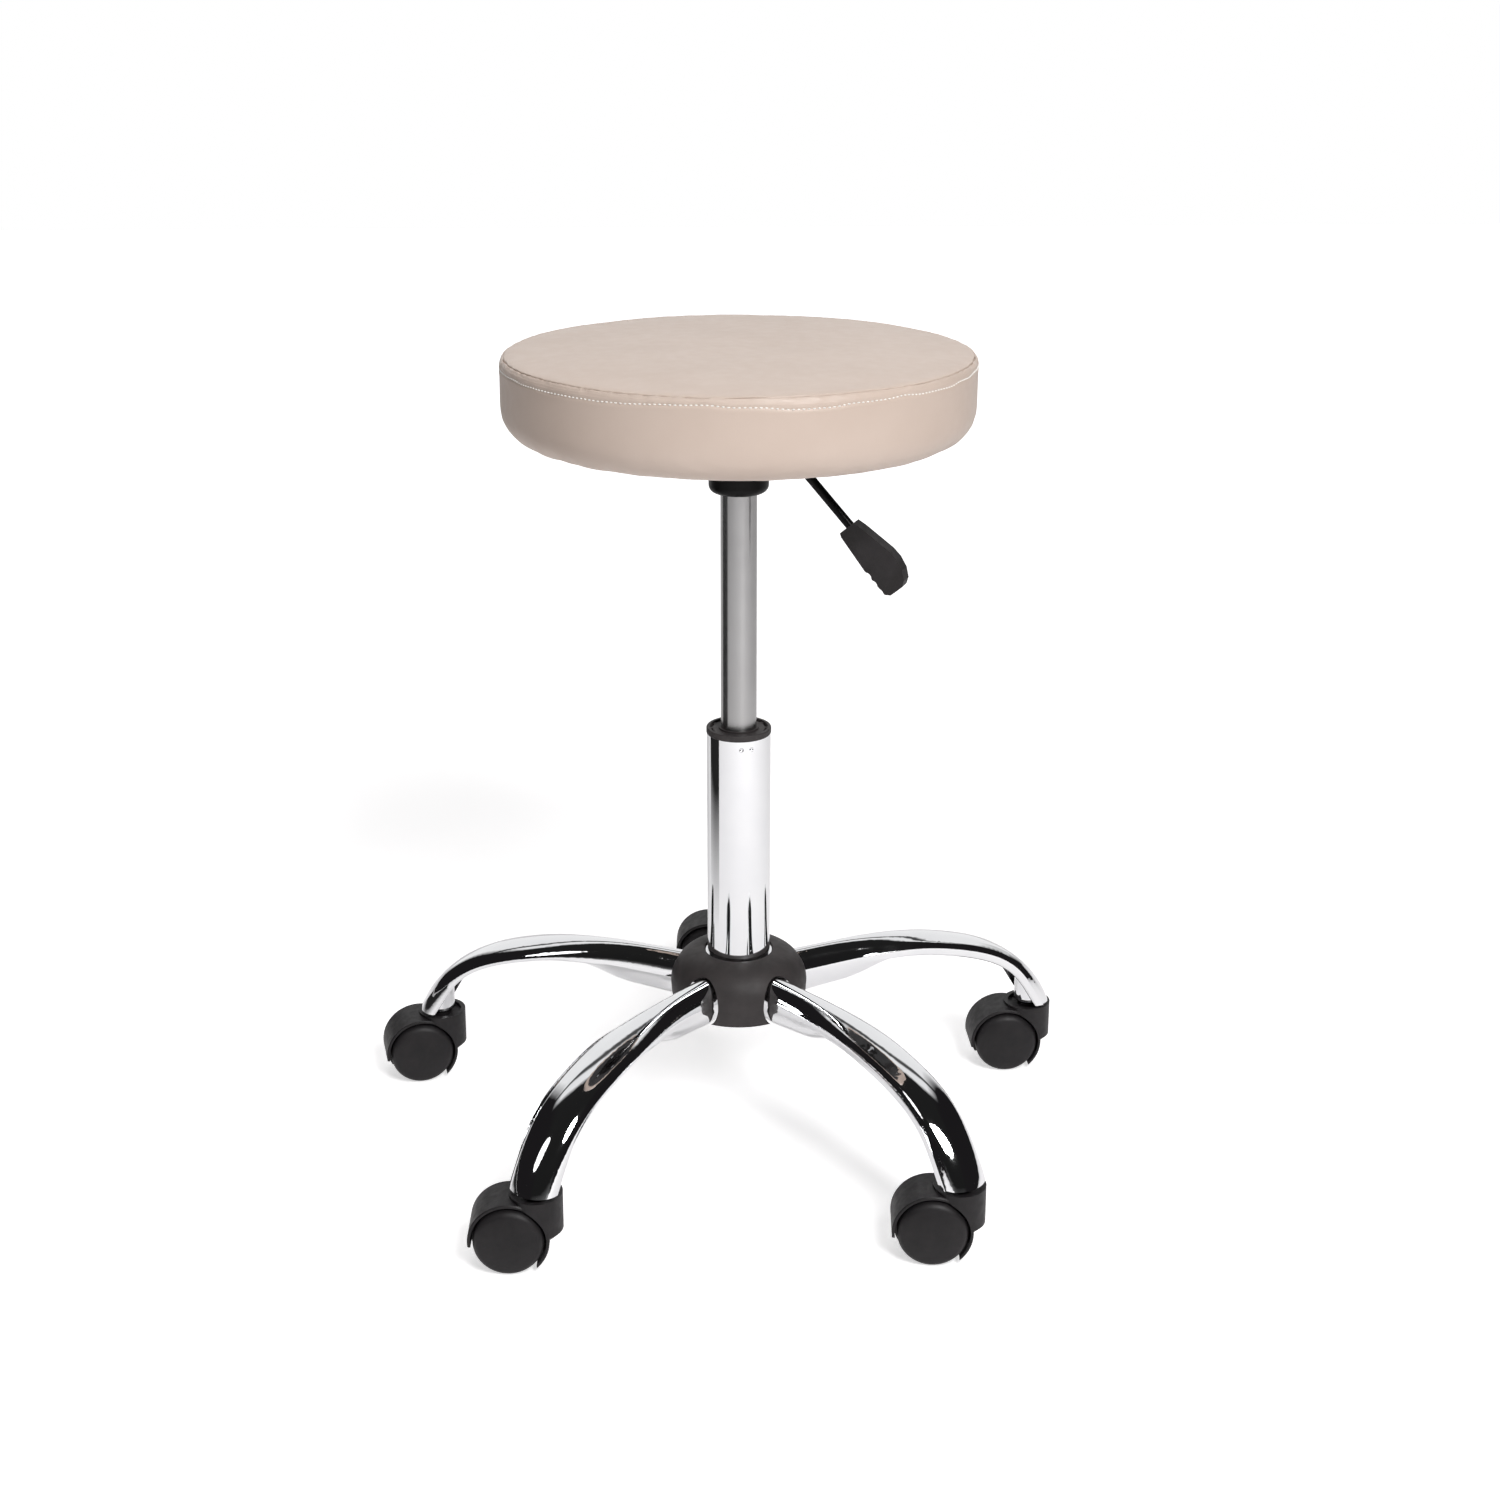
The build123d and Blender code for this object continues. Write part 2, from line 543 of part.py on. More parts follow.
leg_solid = leg()
for index, azimuth in enumerate(LEG_AZIMUTHS, start=1):
    save(f"leg_{index}", Rot(0, 0, azimuth) * leg_solid)
save("hub_sleeve", hub_sleeve())
save("hub_cover", hub_cover())
save("stem_sockets", around(stem_socket(leg_solid), LEG_COUNT, FIRST_LEG_AZIMUTH))
save("caster_stems", Compound([at_stem(caster_stem(), azimuth) for azimuth in LEG_AZIMUTHS]))
save("stem_grip_rings", Compound([at_stem(grip_ring(), azimuth) for azimuth in LEG_AZIMUTHS]))

save("lift_outer_tube", lift_outer_tube())
save("lift_guide_bush", lift_guide_bush())
save("bearing_race_lower", ring(RACE_R, 5.0, BEARING_BOTTOM_Z, BEARING_BOTTOM_Z + RACE_THICKNESS))
save("bearing_cage", bearing_cage())
save("bearing_balls", around(Pos(BALL_CIRCLE_R, 0, BALL_Z) * Sphere(BALL_R), BALL_COUNT))
save("bearing_race_upper", ring(RACE_R, ROD_NECK_R + 0.05, BEARING_TOP_Z - RACE_THICKNESS, BEARING_TOP_Z))
save("lift_bumper", ring(10.0, ROD_R + 0.1, BEARING_TOP_Z, BEARING_TOP_Z + BUMPER_HEIGHT))
save("rod_clip", rod_clip())
save("piston_rod", piston_rod())
save("piston", ring(
    CYLINDER_R - CYLINDER_WALL - RUN_FIT, ROD_NECK_R + 0.02, PISTON_Z, PISTON_Z + PISTON_LENGTH))
save("cylinder_gland", ring(
    CYLINDER_R - CYLINDER_WALL - 0.02, ROD_R + RUN_FIT, CYLINDER_BOTTOM_Z,
    CYLINDER_BOTTOM_Z + GLAND_LENGTH))
save("gas_cylinder", gas_cylinder())
save("valve_button", disc(BUTTON_R, BUTTON_BOTTOM_Z, BUTTON_TOP_Z))

board_low = SEAT_BOTTOM_Z + COVER_THICKNESS
board_top = board_low + BOARD_THICKNESS
staples = around(staple(), STAPLE_COUNT, 5.0)
board = disc(BOARD_R, board_low, board_top)
board -= plate_holes(4.02, board_low - 1, board_top + 1)
foam = turned(cushion_profile(COVER_THICKNESS + 0.05)) - disc(BOARD_R + 0.05, SEAT_BOTTOM_Z - 1, board_top)
foam -= plate_holes(9.05, board_top - 1, board_top + 1.25)
cover = turned(cushion_profile(0)) - turned(cushion_profile(COVER_THICKNESS))
cover -= disc(COVER_HEM_R, SEAT_BOTTOM_Z - 1, board_low + 1)
dust_cover = disc(DUST_COVER_R, PLATE_TOP_Z, SEAT_BOTTOM_Z)
dust_cover -= plate_holes(BOLT_R + 0.3, PLATE_TOP_Z - 1, SEAT_BOTTOM_Z + 1)
save("seat_board", board - staples)
save("seat_foam", foam)
save("seat_cover", cover - staples)
save("dust_cover", dust_cover - staples)
save("staples", staples)
save("seat_plate", seat_plate())
save("seat_socket", seat_socket())
save("plate_bolts", at_bolts(plate_bolt()))
washer_top = PLATE_TOP_Z - PLATE_THICKNESS
save("bolt_washers", at_bolts(ring(6.5, BOLT_R + 0.1, washer_top - 1.2, washer_top)))
save("tee_nuts", at_bolts(tee_nut()))

rod_solid = lever_rod()
save("lever_rod", rod_solid)
save("lever_grip", lever_grip(rod_solid))
save("lever_bush", lever_bush())

for index in range(LEG_COUNT):
    save(f"caster_housing_{index + 1}", place_caster(caster_housing(), index))
    save(f"caster_axle_{index + 1}", place_caster(along_axle(Cylinder(AXLE_R, 38.6)), index))
    wheel = along_axle(caster_wheel())
    save(f"caster_wheel_{index + 1}a", place_caster(wheel, index))
    save(f"caster_wheel_{index + 1}b", place_caster(mirror(wheel, Plane.XZ), index))
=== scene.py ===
"""Looks of the pedicure stool: its materials, the upholstered seat, the studio and the camera."""

import math

import bpy
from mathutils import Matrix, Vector, noise
from mathutils.bvhtree import BVHTree


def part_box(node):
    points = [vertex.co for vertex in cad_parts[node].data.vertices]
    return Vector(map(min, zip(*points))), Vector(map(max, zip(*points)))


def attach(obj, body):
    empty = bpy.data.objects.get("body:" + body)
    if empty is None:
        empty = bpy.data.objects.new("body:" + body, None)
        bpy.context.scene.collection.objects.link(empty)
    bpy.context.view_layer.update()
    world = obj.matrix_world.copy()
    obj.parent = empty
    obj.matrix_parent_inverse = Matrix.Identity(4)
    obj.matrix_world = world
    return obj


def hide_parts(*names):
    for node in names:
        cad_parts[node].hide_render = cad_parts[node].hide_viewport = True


MM = 0.001

# Camera, in the part's frame: X right, Y away, Z up.
CAMERA_DISTANCE = 1645 * MM
CAMERA_HEIGHT = 922 * MM
CAMERA_AZIMUTH = -1.9
CAMERA_PITCH = 16.35
CAMERA_LENS = 53.48
CAMERA_SENSOR = 36.0
CAMERA_SHIFT = (0.0075, -0.1)

# Seat upholstery: its outline, its seam and its row of stitches.
SEAT_TOP_ROUND = 4.0 * MM
SEAT_ROLL_ROUND = 24.0 * MM
SEAM_INSET = 3.2 * MM
STITCH_DROP = 10.0 * MM
STITCH_PITCH = 3.7 * MM
STITCH_LENGTH = 2.3 * MM
STITCH_RADIUS = 0.52 * MM
STITCH_SIDES = 6
STITCH_STATIONS = 7
SEAM_DEPTH = 1.7 * MM
SEAM_WIDTH = 0.6 * MM
ROW_DEPTH = 0.35 * MM
ROW_WIDTH = 1.0 * MM
ROW_LIP = 0.25 * MM
ROW_LIP_OFFSET = 3.0 * MM
ROW_LIP_WIDTH = 2.2 * MM
SEAT_STEPS = 480

# The cloth simulation that rounds the cover out, started a little inside the finished outline.
START_INSET = 2.0 * MM
START_STEPS = 160
CLOTH_VOXEL = 5.0 * MM
CLOTH_CAP = 5.0 * MM
CLOTH_FRAMES = 20
CLOTH_PRESSURE = 4.0
CLOTH_STIFFNESS = 25.0
CLOTH_BENDING = 4.0
BOARD_HOLD = 1.0
SEAM_HOLD = 0.96

# Folds in the vinyl, each a height and a spacing, and the slack of the dust cover.
SEAM_FOLD = 0.30 * MM
SEAM_FOLD_SPACING = 7.0 * MM
GATHER_FOLD = 0.6 * MM
GATHER_SPACING = 16.0 * MM
GATHER_REACH = 22.0 * MM
BROAD_FOLD = 0.5 * MM
BROAD_SPACING = 60.0 * MM
DUST_COVER_SAG = 2.0 * MM
DUST_COVER_SPACING = 22.0 * MM

# Studio.
FLOOR_HALF = 6.0
FLOOR_GLOW = 0.57
FLOOR_GLOW_FAR = 1.1
FLOOR_GLOW_MIRRORED = 0.20
FLOOR_FADE = (0.7, 2.6)
FLOOR_COLOUR = (0.86, 0.845, 0.85, 1.0)
DARK_FLOOR_FADE = (-0.75, -0.38)
DARK_FLOOR_COLOUR = (0.02, 0.02, 0.02, 1.0)
DARK_FLOOR_CORNERS = [(-3.0, -0.70), (-0.3, -0.07), (-0.3, 0.20), (-3.0, 1.95)]
DARK_FLOOR_LIFT = 2.0 * MM
LIGHT_TARGET = (0.0, 0.0, 0.3)
ROOM_COLOUR = (0.012, 0.011, 0.012, 1.0)
BACKDROP_EDGE = (0.50, 0.62)

# The room's grey as (degrees from the back horizon over the top to the front horizon, grey).
ROOM_GREYS = [
    (0.0, 0.95), (47.0, 0.9), (50.0, 0.08), (54.0, 0.08), (57.0, 0.9), (66.0, 0.9),
    (72.0, 0.015), (168.0, 0.012), (176.0, 0.1), (180.0, 0.4),
]


# --- Materials -----------------------------------------------------------------------------------


def new_look(name, sockets):
    """A material with its Principled shader's even values set on the shader itself."""
    look = bpy.data.materials.new(name)
    look.use_nodes = True
    shader = look.node_tree.nodes["Principled BSDF"]
    for socket, value in sockets.items():
        shader.inputs[socket].default_value = value
    return look


def shader_of(look):
    """A material's Principled shader."""
    return look.node_tree.nodes["Principled BSDF"]


def connect(look, source, socket):
    look.node_tree.links.new(source, socket)


def place_of(look, stretch=(1.0, 1.0, 1.0)):
    """The object's own coordinates in metres, stretched along an axis for drawn or brushed marks."""
    tree = look.node_tree
    coordinates = tree.nodes.new("ShaderNodeTexCoord")
    mapping = tree.nodes.new("ShaderNodeMapping")
    mapping.inputs["Scale"].default_value = stretch
    connect(look, coordinates.outputs["Object"], mapping.inputs["Vector"])
    return mapping.outputs["Vector"]


def speckle(look, size, detail=2.0, stretch=(1.0, 1.0, 1.0)):
    """Soft noise whose spots are about size metres across."""
    texture = look.node_tree.nodes.new("ShaderNodeTexNoise")
    texture.inputs["Scale"].default_value = 1.0 / size
    texture.inputs["Detail"].default_value = detail
    connect(look, place_of(look, stretch), texture.inputs["Vector"])
    return texture.outputs["Fac"]


def pebbles(look, size, randomness=1.0):
    """Rounded cells about size metres across, as in leather grain or a spark-eroded mould."""
    texture = look.node_tree.nodes.new("ShaderNodeTexVoronoi")
    texture.feature = "SMOOTH_F1"
    texture.inputs["Scale"].default_value = 1.0 / size
    texture.inputs["Randomness"].default_value = randomness
    connect(look, place_of(look), texture.inputs["Vector"])
    return texture.outputs["Distance"]


def remap(look, source, low, high, start=0.3, end=0.7):
    """A plain number that runs from low to high as source runs from start to end."""
    node = look.node_tree.nodes.new("ShaderNodeMapRange")
    node.inputs["From Min"].default_value = start
    node.inputs["From Max"].default_value = end
    node.inputs["To Min"].default_value = low
    node.inputs["To Max"].default_value = high
    connect(look, source, node.inputs["Value"])
    return node.outputs["Result"]


def colour_between(look, source, first, second, start=0.35, end=0.65):
    """Two colours mixed by source."""
    node = look.node_tree.nodes.new("ShaderNodeMix")
    node.data_type = "RGBA"
    node.inputs["A"].default_value = (*first, 1.0)
    node.inputs["B"].default_value = (*second, 1.0)
    connect(look, remap(look, source, 0.0, 1.0, start, end), node.inputs["Factor"])
    return node.outputs["Result"]


def raise_by(look, layers):
    """Chains bumps, each a height source with its strength and its depth in metres."""
    normal = None
    for source, strength, depth in layers:
        node = look.node_tree.nodes.new("ShaderNodeBump")
        node.inputs["Strength"].default_value = strength
        node.inputs["Distance"].default_value = depth
        connect(look, source, node.inputs["Height"])
        if normal is not None:
            connect(look, normal, node.inputs["Normal"])
        normal = node.outputs["Normal"]
    connect(look, normal, shader_of(look).inputs["Normal"])


def metal_look(name, light, dark, smooth, rough, layers, anisotropic=0.0):
    """Metal whose tint and polish vary a little over its surface."""
    look = new_look(name, {"Metallic": 1.0, "Anisotropic": anisotropic, "Anisotropic Rotation": 0.25})
    shader = shader_of(look)
    tint = colour_between(look, speckle(look, 45 * MM, 3.0), light, dark)
    connect(look, tint, shader.inputs["Base Color"])
    polish = remap(look, speckle(look, 12 * MM, 5.0), smooth, rough)
    connect(look, polish, shader.inputs["Roughness"])
    raise_by(look, [(speckle(look, size, 2.0, along), strength, depth)
                    for size, along, strength, depth in layers])
    return look


def plastic_look(name, light, dark, smooth, rough, grain, grain_depth, sockets=None):
    """Moulded plastic or rubber with a fine pebbled texture and slightly uneven shade."""
    look = new_look(name, {"IOR": 1.48, "Specular IOR Level": 0.35, **(sockets or {})})
    shader = shader_of(look)
    tint = colour_between(look, speckle(look, 18 * MM, 4.0), light, dark)
    connect(look, tint, shader.inputs["Base Color"])
    polish = remap(look, speckle(look, 5 * MM, 4.0), smooth, rough)
    connect(look, polish, shader.inputs["Roughness"])
    raise_by(look, [(pebbles(look, grain), 0.7, grain_depth), (speckle(look, 3 * grain), 0.3, grain_depth)])
    return look


def vinyl_look():
    """Upholstery vinyl: soft pebbled grain, faint wear and a satin top coat."""
    look = new_look("vinyl", {
        "IOR": 1.46, "Coat Weight": 0.12, "Coat Roughness": 0.38, "Sheen Weight": 0.08,
        "Sheen Roughness": 0.5,
    })
    shader = shader_of(look)
    cloudy = colour_between(look, speckle(look, 70 * MM, 4.0), (0.580, 0.472, 0.404), (0.550, 0.443, 0.376))
    connect(look, cloudy, shader.inputs["Base Color"])
    connect(look, remap(look, speckle(look, 9 * MM, 5.0), 0.42, 0.56), shader.inputs["Roughness"])
    raise_by(look, [
        (pebbles(look, 1.1 * MM), 0.35, 0.10 * MM),
        (speckle(look, 0.5 * MM, 3.0), 0.25, 0.06 * MM),
        (speckle(look, 22 * MM, 3.0), 0.25, 0.7 * MM),
    ])
    return look


def thread_look():
    """White polyester thread with the twist of its plies."""
    look = new_look("thread", {"Sheen Weight": 0.3, "Roughness": 0.6})
    shader = shader_of(look)
    fibres = speckle(look, 0.3 * MM, 3.0, (1.0, 1.0, 3.0))
    connect(look, colour_between(look, fibres, (0.93, 0.91, 0.87), (0.80, 0.78, 0.74)),
            shader.inputs["Base Color"])
    raise_by(look, [(fibres, 0.5, 0.06 * MM)])
    return look


def plywood_look():
    """Birch plywood: long grain on its faces and darker glue lines through its edge."""
    look = new_look("plywood", {"Roughness": 0.62})
    shader = shader_of(look)
    grain = speckle(look, 4 * MM, 5.0, (0.12, 1.0, 3.0))
    connect(look, colour_between(look, grain, (0.62, 0.44, 0.26), (0.42, 0.27, 0.14)),
            shader.inputs["Base Color"])
    raise_by(look, [(grain, 0.4, 0.3 * MM)])
    return look


def foam_look():
    """Open-celled upholstery foam, yellowed a little in its cells."""
    look = new_look("foam", {"Roughness": 0.9})
    cells = pebbles(look, 1.2 * MM)
    connect(look, colour_between(look, cells, (0.80, 0.74, 0.55), (0.66, 0.58, 0.38), 0.1, 0.7),
            shader_of(look).inputs["Base Color"])
    raise_by(look, [(cells, 0.8, 0.5 * MM)])
    return look


def dust_cloth_look():
    """Black spun-bonded cloth: short fibres and a dimpled bonding pattern."""
    look = new_look("dust_cloth", {"Sheen Weight": 0.25, "Sheen Roughness": 0.6, "Roughness": 0.85})
    fibres = speckle(look, 0.9 * MM, 6.0)
    connect(look, colour_between(look, fibres, (0.030, 0.029, 0.029), (0.012, 0.012, 0.013)),
            shader_of(look).inputs["Base Color"])
    raise_by(look, [(pebbles(look, 1.6 * MM, 0.15), 0.6, 0.2 * MM), (fibres, 0.5, 0.1 * MM)])
    return look


def make_looks():
    """Every look by the name of its material slot."""
    even = (1.0, 1.0, 1.0)
    return {
        "chrome": metal_look("chrome", (0.86, 0.865, 0.875), (0.82, 0.825, 0.84), 0.025, 0.055,
                             [(38 * MM, even, 0.10, 0.10 * MM), (1.5 * MM, even, 0.05, 0.004 * MM)]),
        "ground_steel": metal_look("ground_steel", (0.46, 0.455, 0.455), (0.42, 0.415, 0.415), 0.25, 0.27,
                                   [(0.8 * MM, (1.0, 1.0, 4.0), 0.05, 0.004 * MM)], 0.7),
        "zinc_steel": metal_look("zinc_steel", (0.66, 0.67, 0.68), (0.55, 0.56, 0.58), 0.22, 0.38,
                                 [(2.5 * MM, even, 0.2, 0.03 * MM)]),
        "black_steel": metal_look("black_steel", (0.022, 0.021, 0.021), (0.014, 0.014, 0.014), 0.34, 0.48,
                                  [(0.6 * MM, even, 0.4, 0.03 * MM)]),
        "cover_plastic": plastic_look("cover_plastic", (0.044, 0.038, 0.038), (0.034, 0.030, 0.030),
                                      0.50, 0.62, 0.7 * MM, 0.05 * MM),
        "caster_plastic": plastic_look("caster_plastic", (0.014, 0.012, 0.013), (0.009, 0.008, 0.009),
                                       0.42, 0.56, 0.8 * MM, 0.06 * MM),
        "grip_plastic": plastic_look("grip_plastic", (0.024, 0.021, 0.022), (0.016, 0.014, 0.014),
                                     0.50, 0.64, 0.9 * MM, 0.10 * MM),
        "nylon": plastic_look("nylon", (0.020, 0.020, 0.021), (0.013, 0.013, 0.014),
                              0.30, 0.42, 0.6 * MM, 0.02 * MM),
        "rubber": plastic_look("rubber", (0.020, 0.019, 0.019), (0.012, 0.012, 0.012),
                               0.68, 0.82, 0.7 * MM, 0.05 * MM),
        "vinyl": vinyl_look(),
        "foam": foam_look(),
        "plywood": plywood_look(),
        "dust_cloth": dust_cloth_look(),
    }


def dress_frame(nodes, looks):
    """Gives each CAD node the look of the material slot that it was packed with."""
    for part in nodes.values():
        for slot in part.material_slots:
            slot.material = looks[slot.material.name.split(".")[0]]


# --- Meshes --------------------------------------------------------------------------------------


def mesh_object(name, verts, faces, look):
    """A smooth-shaded mesh with one material."""
    mesh = bpy.data.meshes.new(name)
    mesh.from_pydata(verts, [], faces)
    mesh.validate()
    mesh.polygons.foreach_set("use_smooth", [True] * len(mesh.polygons))
    mesh.materials.append(look)
    made = bpy.data.objects.new(name, mesh)
    bpy.context.scene.collection.objects.link(made)
    return made


def revolve(profile, steps):
    """Vertices and faces of a closed form. The profile runs from its pole below to its pole above."""
    rings = profile[1:-1]
    verts = [(0.0, 0.0, profile[0][1])]
    for radius, height in rings:
        for step in range(steps):
            angle = 2 * math.pi * step / steps
            verts.append((radius * math.cos(angle), radius * math.sin(angle), height))
    verts.append((0.0, 0.0, profile[-1][1]))
    faces = []
    for step in range(steps):
        following = (step + 1) % steps
        faces.append((0, 1 + following, 1 + step))
        for ring in range(len(rings) - 1):
            low = 1 + ring * steps
            high = low + steps
            faces.append((low + step, low + following, high + following, high + step))
        last = 1 + (len(rings) - 1) * steps
        faces.append((len(verts) - 1, last + step, last + following))
    return verts, faces


def arc_points(centre, radius, start, end, count):
    """Points on an arc in the profile's plane, with angles in degrees from the radial direction."""
    points = []
    for index in range(count + 1):
        angle = math.radians(start + (end - start) * index / count)
        points.append((centre[0] + radius * math.cos(angle), centre[1] + radius * math.sin(angle)))
    return points


def line_points(start, end, count):
    """Points strictly between start and end."""
    return [
        (start[0] + (end[0] - start[0]) * index / count, start[1] + (end[1] - start[1]) * index / count)
        for index in range(1, count)
    ]


# --- Seat ----------------------------------------------------------------------------------------


def cushion_profile(seat_radius, bottom, top, inset, fineness):
    """Outline of the cushion: flat below, a wide roll, an upright band, a small edge and a flat top."""
    outer = seat_radius - inset
    high = top - inset
    roll = SEAT_ROLL_ROUND
    edge = SEAT_TOP_ROUND
    roll_centre = (outer - roll, bottom + roll)
    edge_centre = (outer - edge, high - edge)
    points = [(0.0, bottom)]
    points += line_points((0.0, bottom), (roll_centre[0], bottom), 18 * fineness)
    points += arc_points(roll_centre, roll, -90.0, 0.0, 8 * fineness)
    points += line_points((outer, bottom + roll), (outer, high - edge), 7 * fineness)
    points += arc_points(edge_centre, edge, 0.0, 90.0, 3 * fineness)
    points += line_points((outer - edge, high), (0.0, high), 24 * fineness)
    points.append((0.0, high))
    return points


def pin_weight(point, seat_radius, bottom, top):
    """How firmly the vinyl is held: by the board below and by the seam round the top edge."""
    radius = math.hypot(point.x, point.y)
    if point.z < bottom + 4 * MM:
        return BOARD_HOLD
    from_seam = math.hypot(radius - (seat_radius - SEAM_INSET), point.z - top)
    if from_seam < 7 * MM:
        return SEAM_HOLD
    return 0.0


def add_cloth(cushion, held):
    """Cloth under air pressure alone, held where the vertex group says."""
    cloth = cushion.modifiers.new("Cloth", "CLOTH")
    cloth.settings.use_pressure = True
    cloth.settings.uniform_pressure_force = CLOTH_PRESSURE
    cloth.settings.effector_weights.gravity = 0.0
    cloth.settings.vertex_group_mass = held.name
    cloth.settings.tension_stiffness = CLOTH_STIFFNESS
    cloth.settings.compression_stiffness = CLOTH_STIFFNESS
    cloth.settings.bending_stiffness = CLOTH_BENDING
    cloth.settings.quality = 6
    cloth.point_cache.frame_start = 1
    cloth.point_cache.frame_end = CLOTH_FRAMES
    return cloth


def inflate(cushion, seat_radius, bottom, top):
    """Lets air pressure round the vinyl out between its seam and the board, then keeps the result."""
    remesh = cushion.modifiers.new("Remesh", "REMESH")
    remesh.mode = "VOXEL"
    remesh.voxel_size = CLOTH_VOXEL
    bpy.context.view_layer.objects.active = cushion
    bpy.ops.object.modifier_apply(modifier=remesh.name)
    mesh = cushion.data
    rest = [vertex.co.copy() for vertex in mesh.vertices]
    held = cushion.vertex_groups.new(name="held")
    for vertex in mesh.vertices:
        held.add([vertex.index], pin_weight(vertex.co, seat_radius, bottom, top), "REPLACE")
    cloth = add_cloth(cushion, held)
    scene = bpy.context.scene
    for frame_number in range(1, CLOTH_FRAMES + 1):
        scene.frame_set(frame_number)
    bpy.ops.object.modifier_apply(modifier=cloth.name)
    scene.frame_set(1)
    for vertex, start in zip(mesh.vertices, rest):
        moved = vertex.co - start
        if moved.length > CLOTH_CAP:
            vertex.co = start + moved.normalized() * CLOTH_CAP
    rounder = cushion.modifiers.new("Subdivision", "SUBSURF")
    rounder.levels = 1
    bpy.ops.object.modifier_apply(modifier=rounder.name)


def outward_of(point, seat_radius, bottom, top):
    """The direction that faces out of the cushion at a point of its plain outline."""
    radius = math.hypot(point.x, point.y)
    if radius < 1 * MM:
        return Vector((0.0, 0.0, 1.0 if point.z > (bottom + top) / 2 else -1.0))
    across = 0.0
    upward = 0.0
    for round_off, centre_z, side in ((SEAT_ROLL_ROUND, bottom + SEAT_ROLL_ROUND, -1),
                                      (SEAT_TOP_ROUND, top - SEAT_TOP_ROUND, 1)):
        beyond = (point.z - centre_z) * side
        if beyond >= 0.0:
            across = max(0.0, radius - (seat_radius - round_off))
            upward = beyond * side
    if upward == 0.0:
        across = 1.0
    sideways = Vector((point.x / radius, point.y / radius, 0.0))
    return (sideways * across + Vector((0.0, 0.0, upward))).normalized()


def simulated_shape(seat_radius, bottom, top):
    """A tree of the inflated cushion's surface, for the finer cover to follow."""
    verts, faces = revolve(cushion_profile(seat_radius, bottom, top, START_INSET, 1), START_STEPS)
    cushion = mesh_object("cushion_start", verts, faces, None)
    inflate(cushion, seat_radius, bottom, top)
    tree = BVHTree.FromObject(cushion, bpy.context.evaluated_depsgraph_get())
    bpy.data.objects.remove(cushion)
    return tree


def seam_wander(angle):
    """How far the sewn lines drift up and down on their way round, in metres."""
    around = Vector((math.cos(angle), math.sin(angle), 0.0))
    return 2.4 * MM * noise.noise(around * 2.3) + 0.9 * MM * noise.noise(around * 9.0)


def sewn_depth(radius, height, angle, seat_radius, top):
    """How far the cover is drawn in at its seam and under its row of stitches."""
    seam = math.hypot(radius - (seat_radius - SEAM_INSET), height - top)
    row = abs(height - (top - STITCH_DROP + seam_wander(angle)))
    depth = SEAM_DEPTH * math.exp(-(seam / SEAM_WIDTH) ** 2)
    if radius > seat_radius - 2 * MM:
        depth += ROW_DEPTH * math.exp(-(row / ROW_WIDTH) ** 2)
        depth -= ROW_LIP * math.exp(-((row - ROW_LIP_OFFSET) / ROW_LIP_WIDTH) ** 2)
    return depth


def pucker(point, radius, seat_radius, bottom, top):
    """Small folds: at the stitches, and where the vinyl is gathered under the board."""
    around = Vector((point.x, point.y, 0.0)) * (seat_radius / max(radius, 1 * MM))
    from_edge = math.hypot(radius - seat_radius, point.z - top)
    near_seam = math.exp(-(from_edge / (12 * MM)) ** 2)
    rise = Vector((0.0, 0.0, point.z / (20 * MM)))
    out = SEAM_FOLD * near_seam * noise.noise(around / SEAM_FOLD_SPACING + rise)
    gather = max(0.0, 1.0 - (point.z - bottom) / GATHER_REACH)
    below = Vector((3.0, 0.0, point.z / (40 * MM)))
    out += GATHER_FOLD * gather * noise.noise(around / GATHER_SPACING + below)
    out += BROAD_FOLD * noise.noise(point / BROAD_SPACING)
    return out


def fine_profile(seat_radius, bottom, top):
    """The cushion outline with close points where the seam and the stitches draw the vinyl in."""
    coarse = cushion_profile(seat_radius, bottom, top, 0.0, 4)
    points = [coarse[0]]
    for start, end in zip(coarse, coarse[1:]):
        near = math.hypot(end[0] - seat_radius, end[1] - top) < 14 * MM
        pieces = 6 if near else 1
        points += line_points(start, end, pieces)
        points.append(end)
    return points


def shaped_point(point, shape, seat_radius, bottom, top):
    """A point of the plain outline, moved to the simulated shape and into the seam and the folds."""
    radius = math.hypot(point.x, point.y)
    angle = math.atan2(point.y, point.x)
    on_board = point.z < bottom + 0.1 * MM and radius < seat_radius - SEAT_ROLL_ROUND - 6 * MM
    if on_board:
        return point
    drawn = shape.find_nearest(point)[0] - point
    if drawn.length > CLOTH_CAP:
        drawn = drawn.normalized() * CLOTH_CAP
    offset = pucker(point, radius, seat_radius, bottom, top)
    offset -= sewn_depth(radius, point.z, angle, seat_radius, top)
    return point + drawn + outward_of(point, seat_radius, bottom, top) * offset


def seat_cover(looks):
    """The vinyl cover over its foam, sewn from a round top panel and a band."""
    low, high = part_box("seat_cover")
    seat_radius = (high.x - low.x) / 2
    bottom = low.z
    top = high.z
    shape = simulated_shape(seat_radius, bottom, top)
    verts, faces = revolve(fine_profile(seat_radius, bottom, top), SEAT_STEPS)
    shaped = [shaped_point(Vector(corner), shape, seat_radius, bottom, top) for corner in verts]
    cover = mesh_object("vinyl_cover", shaped, faces, looks["vinyl"])
    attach(cover, "seat")
    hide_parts("seat_cover", "seat_foam")
    return cover


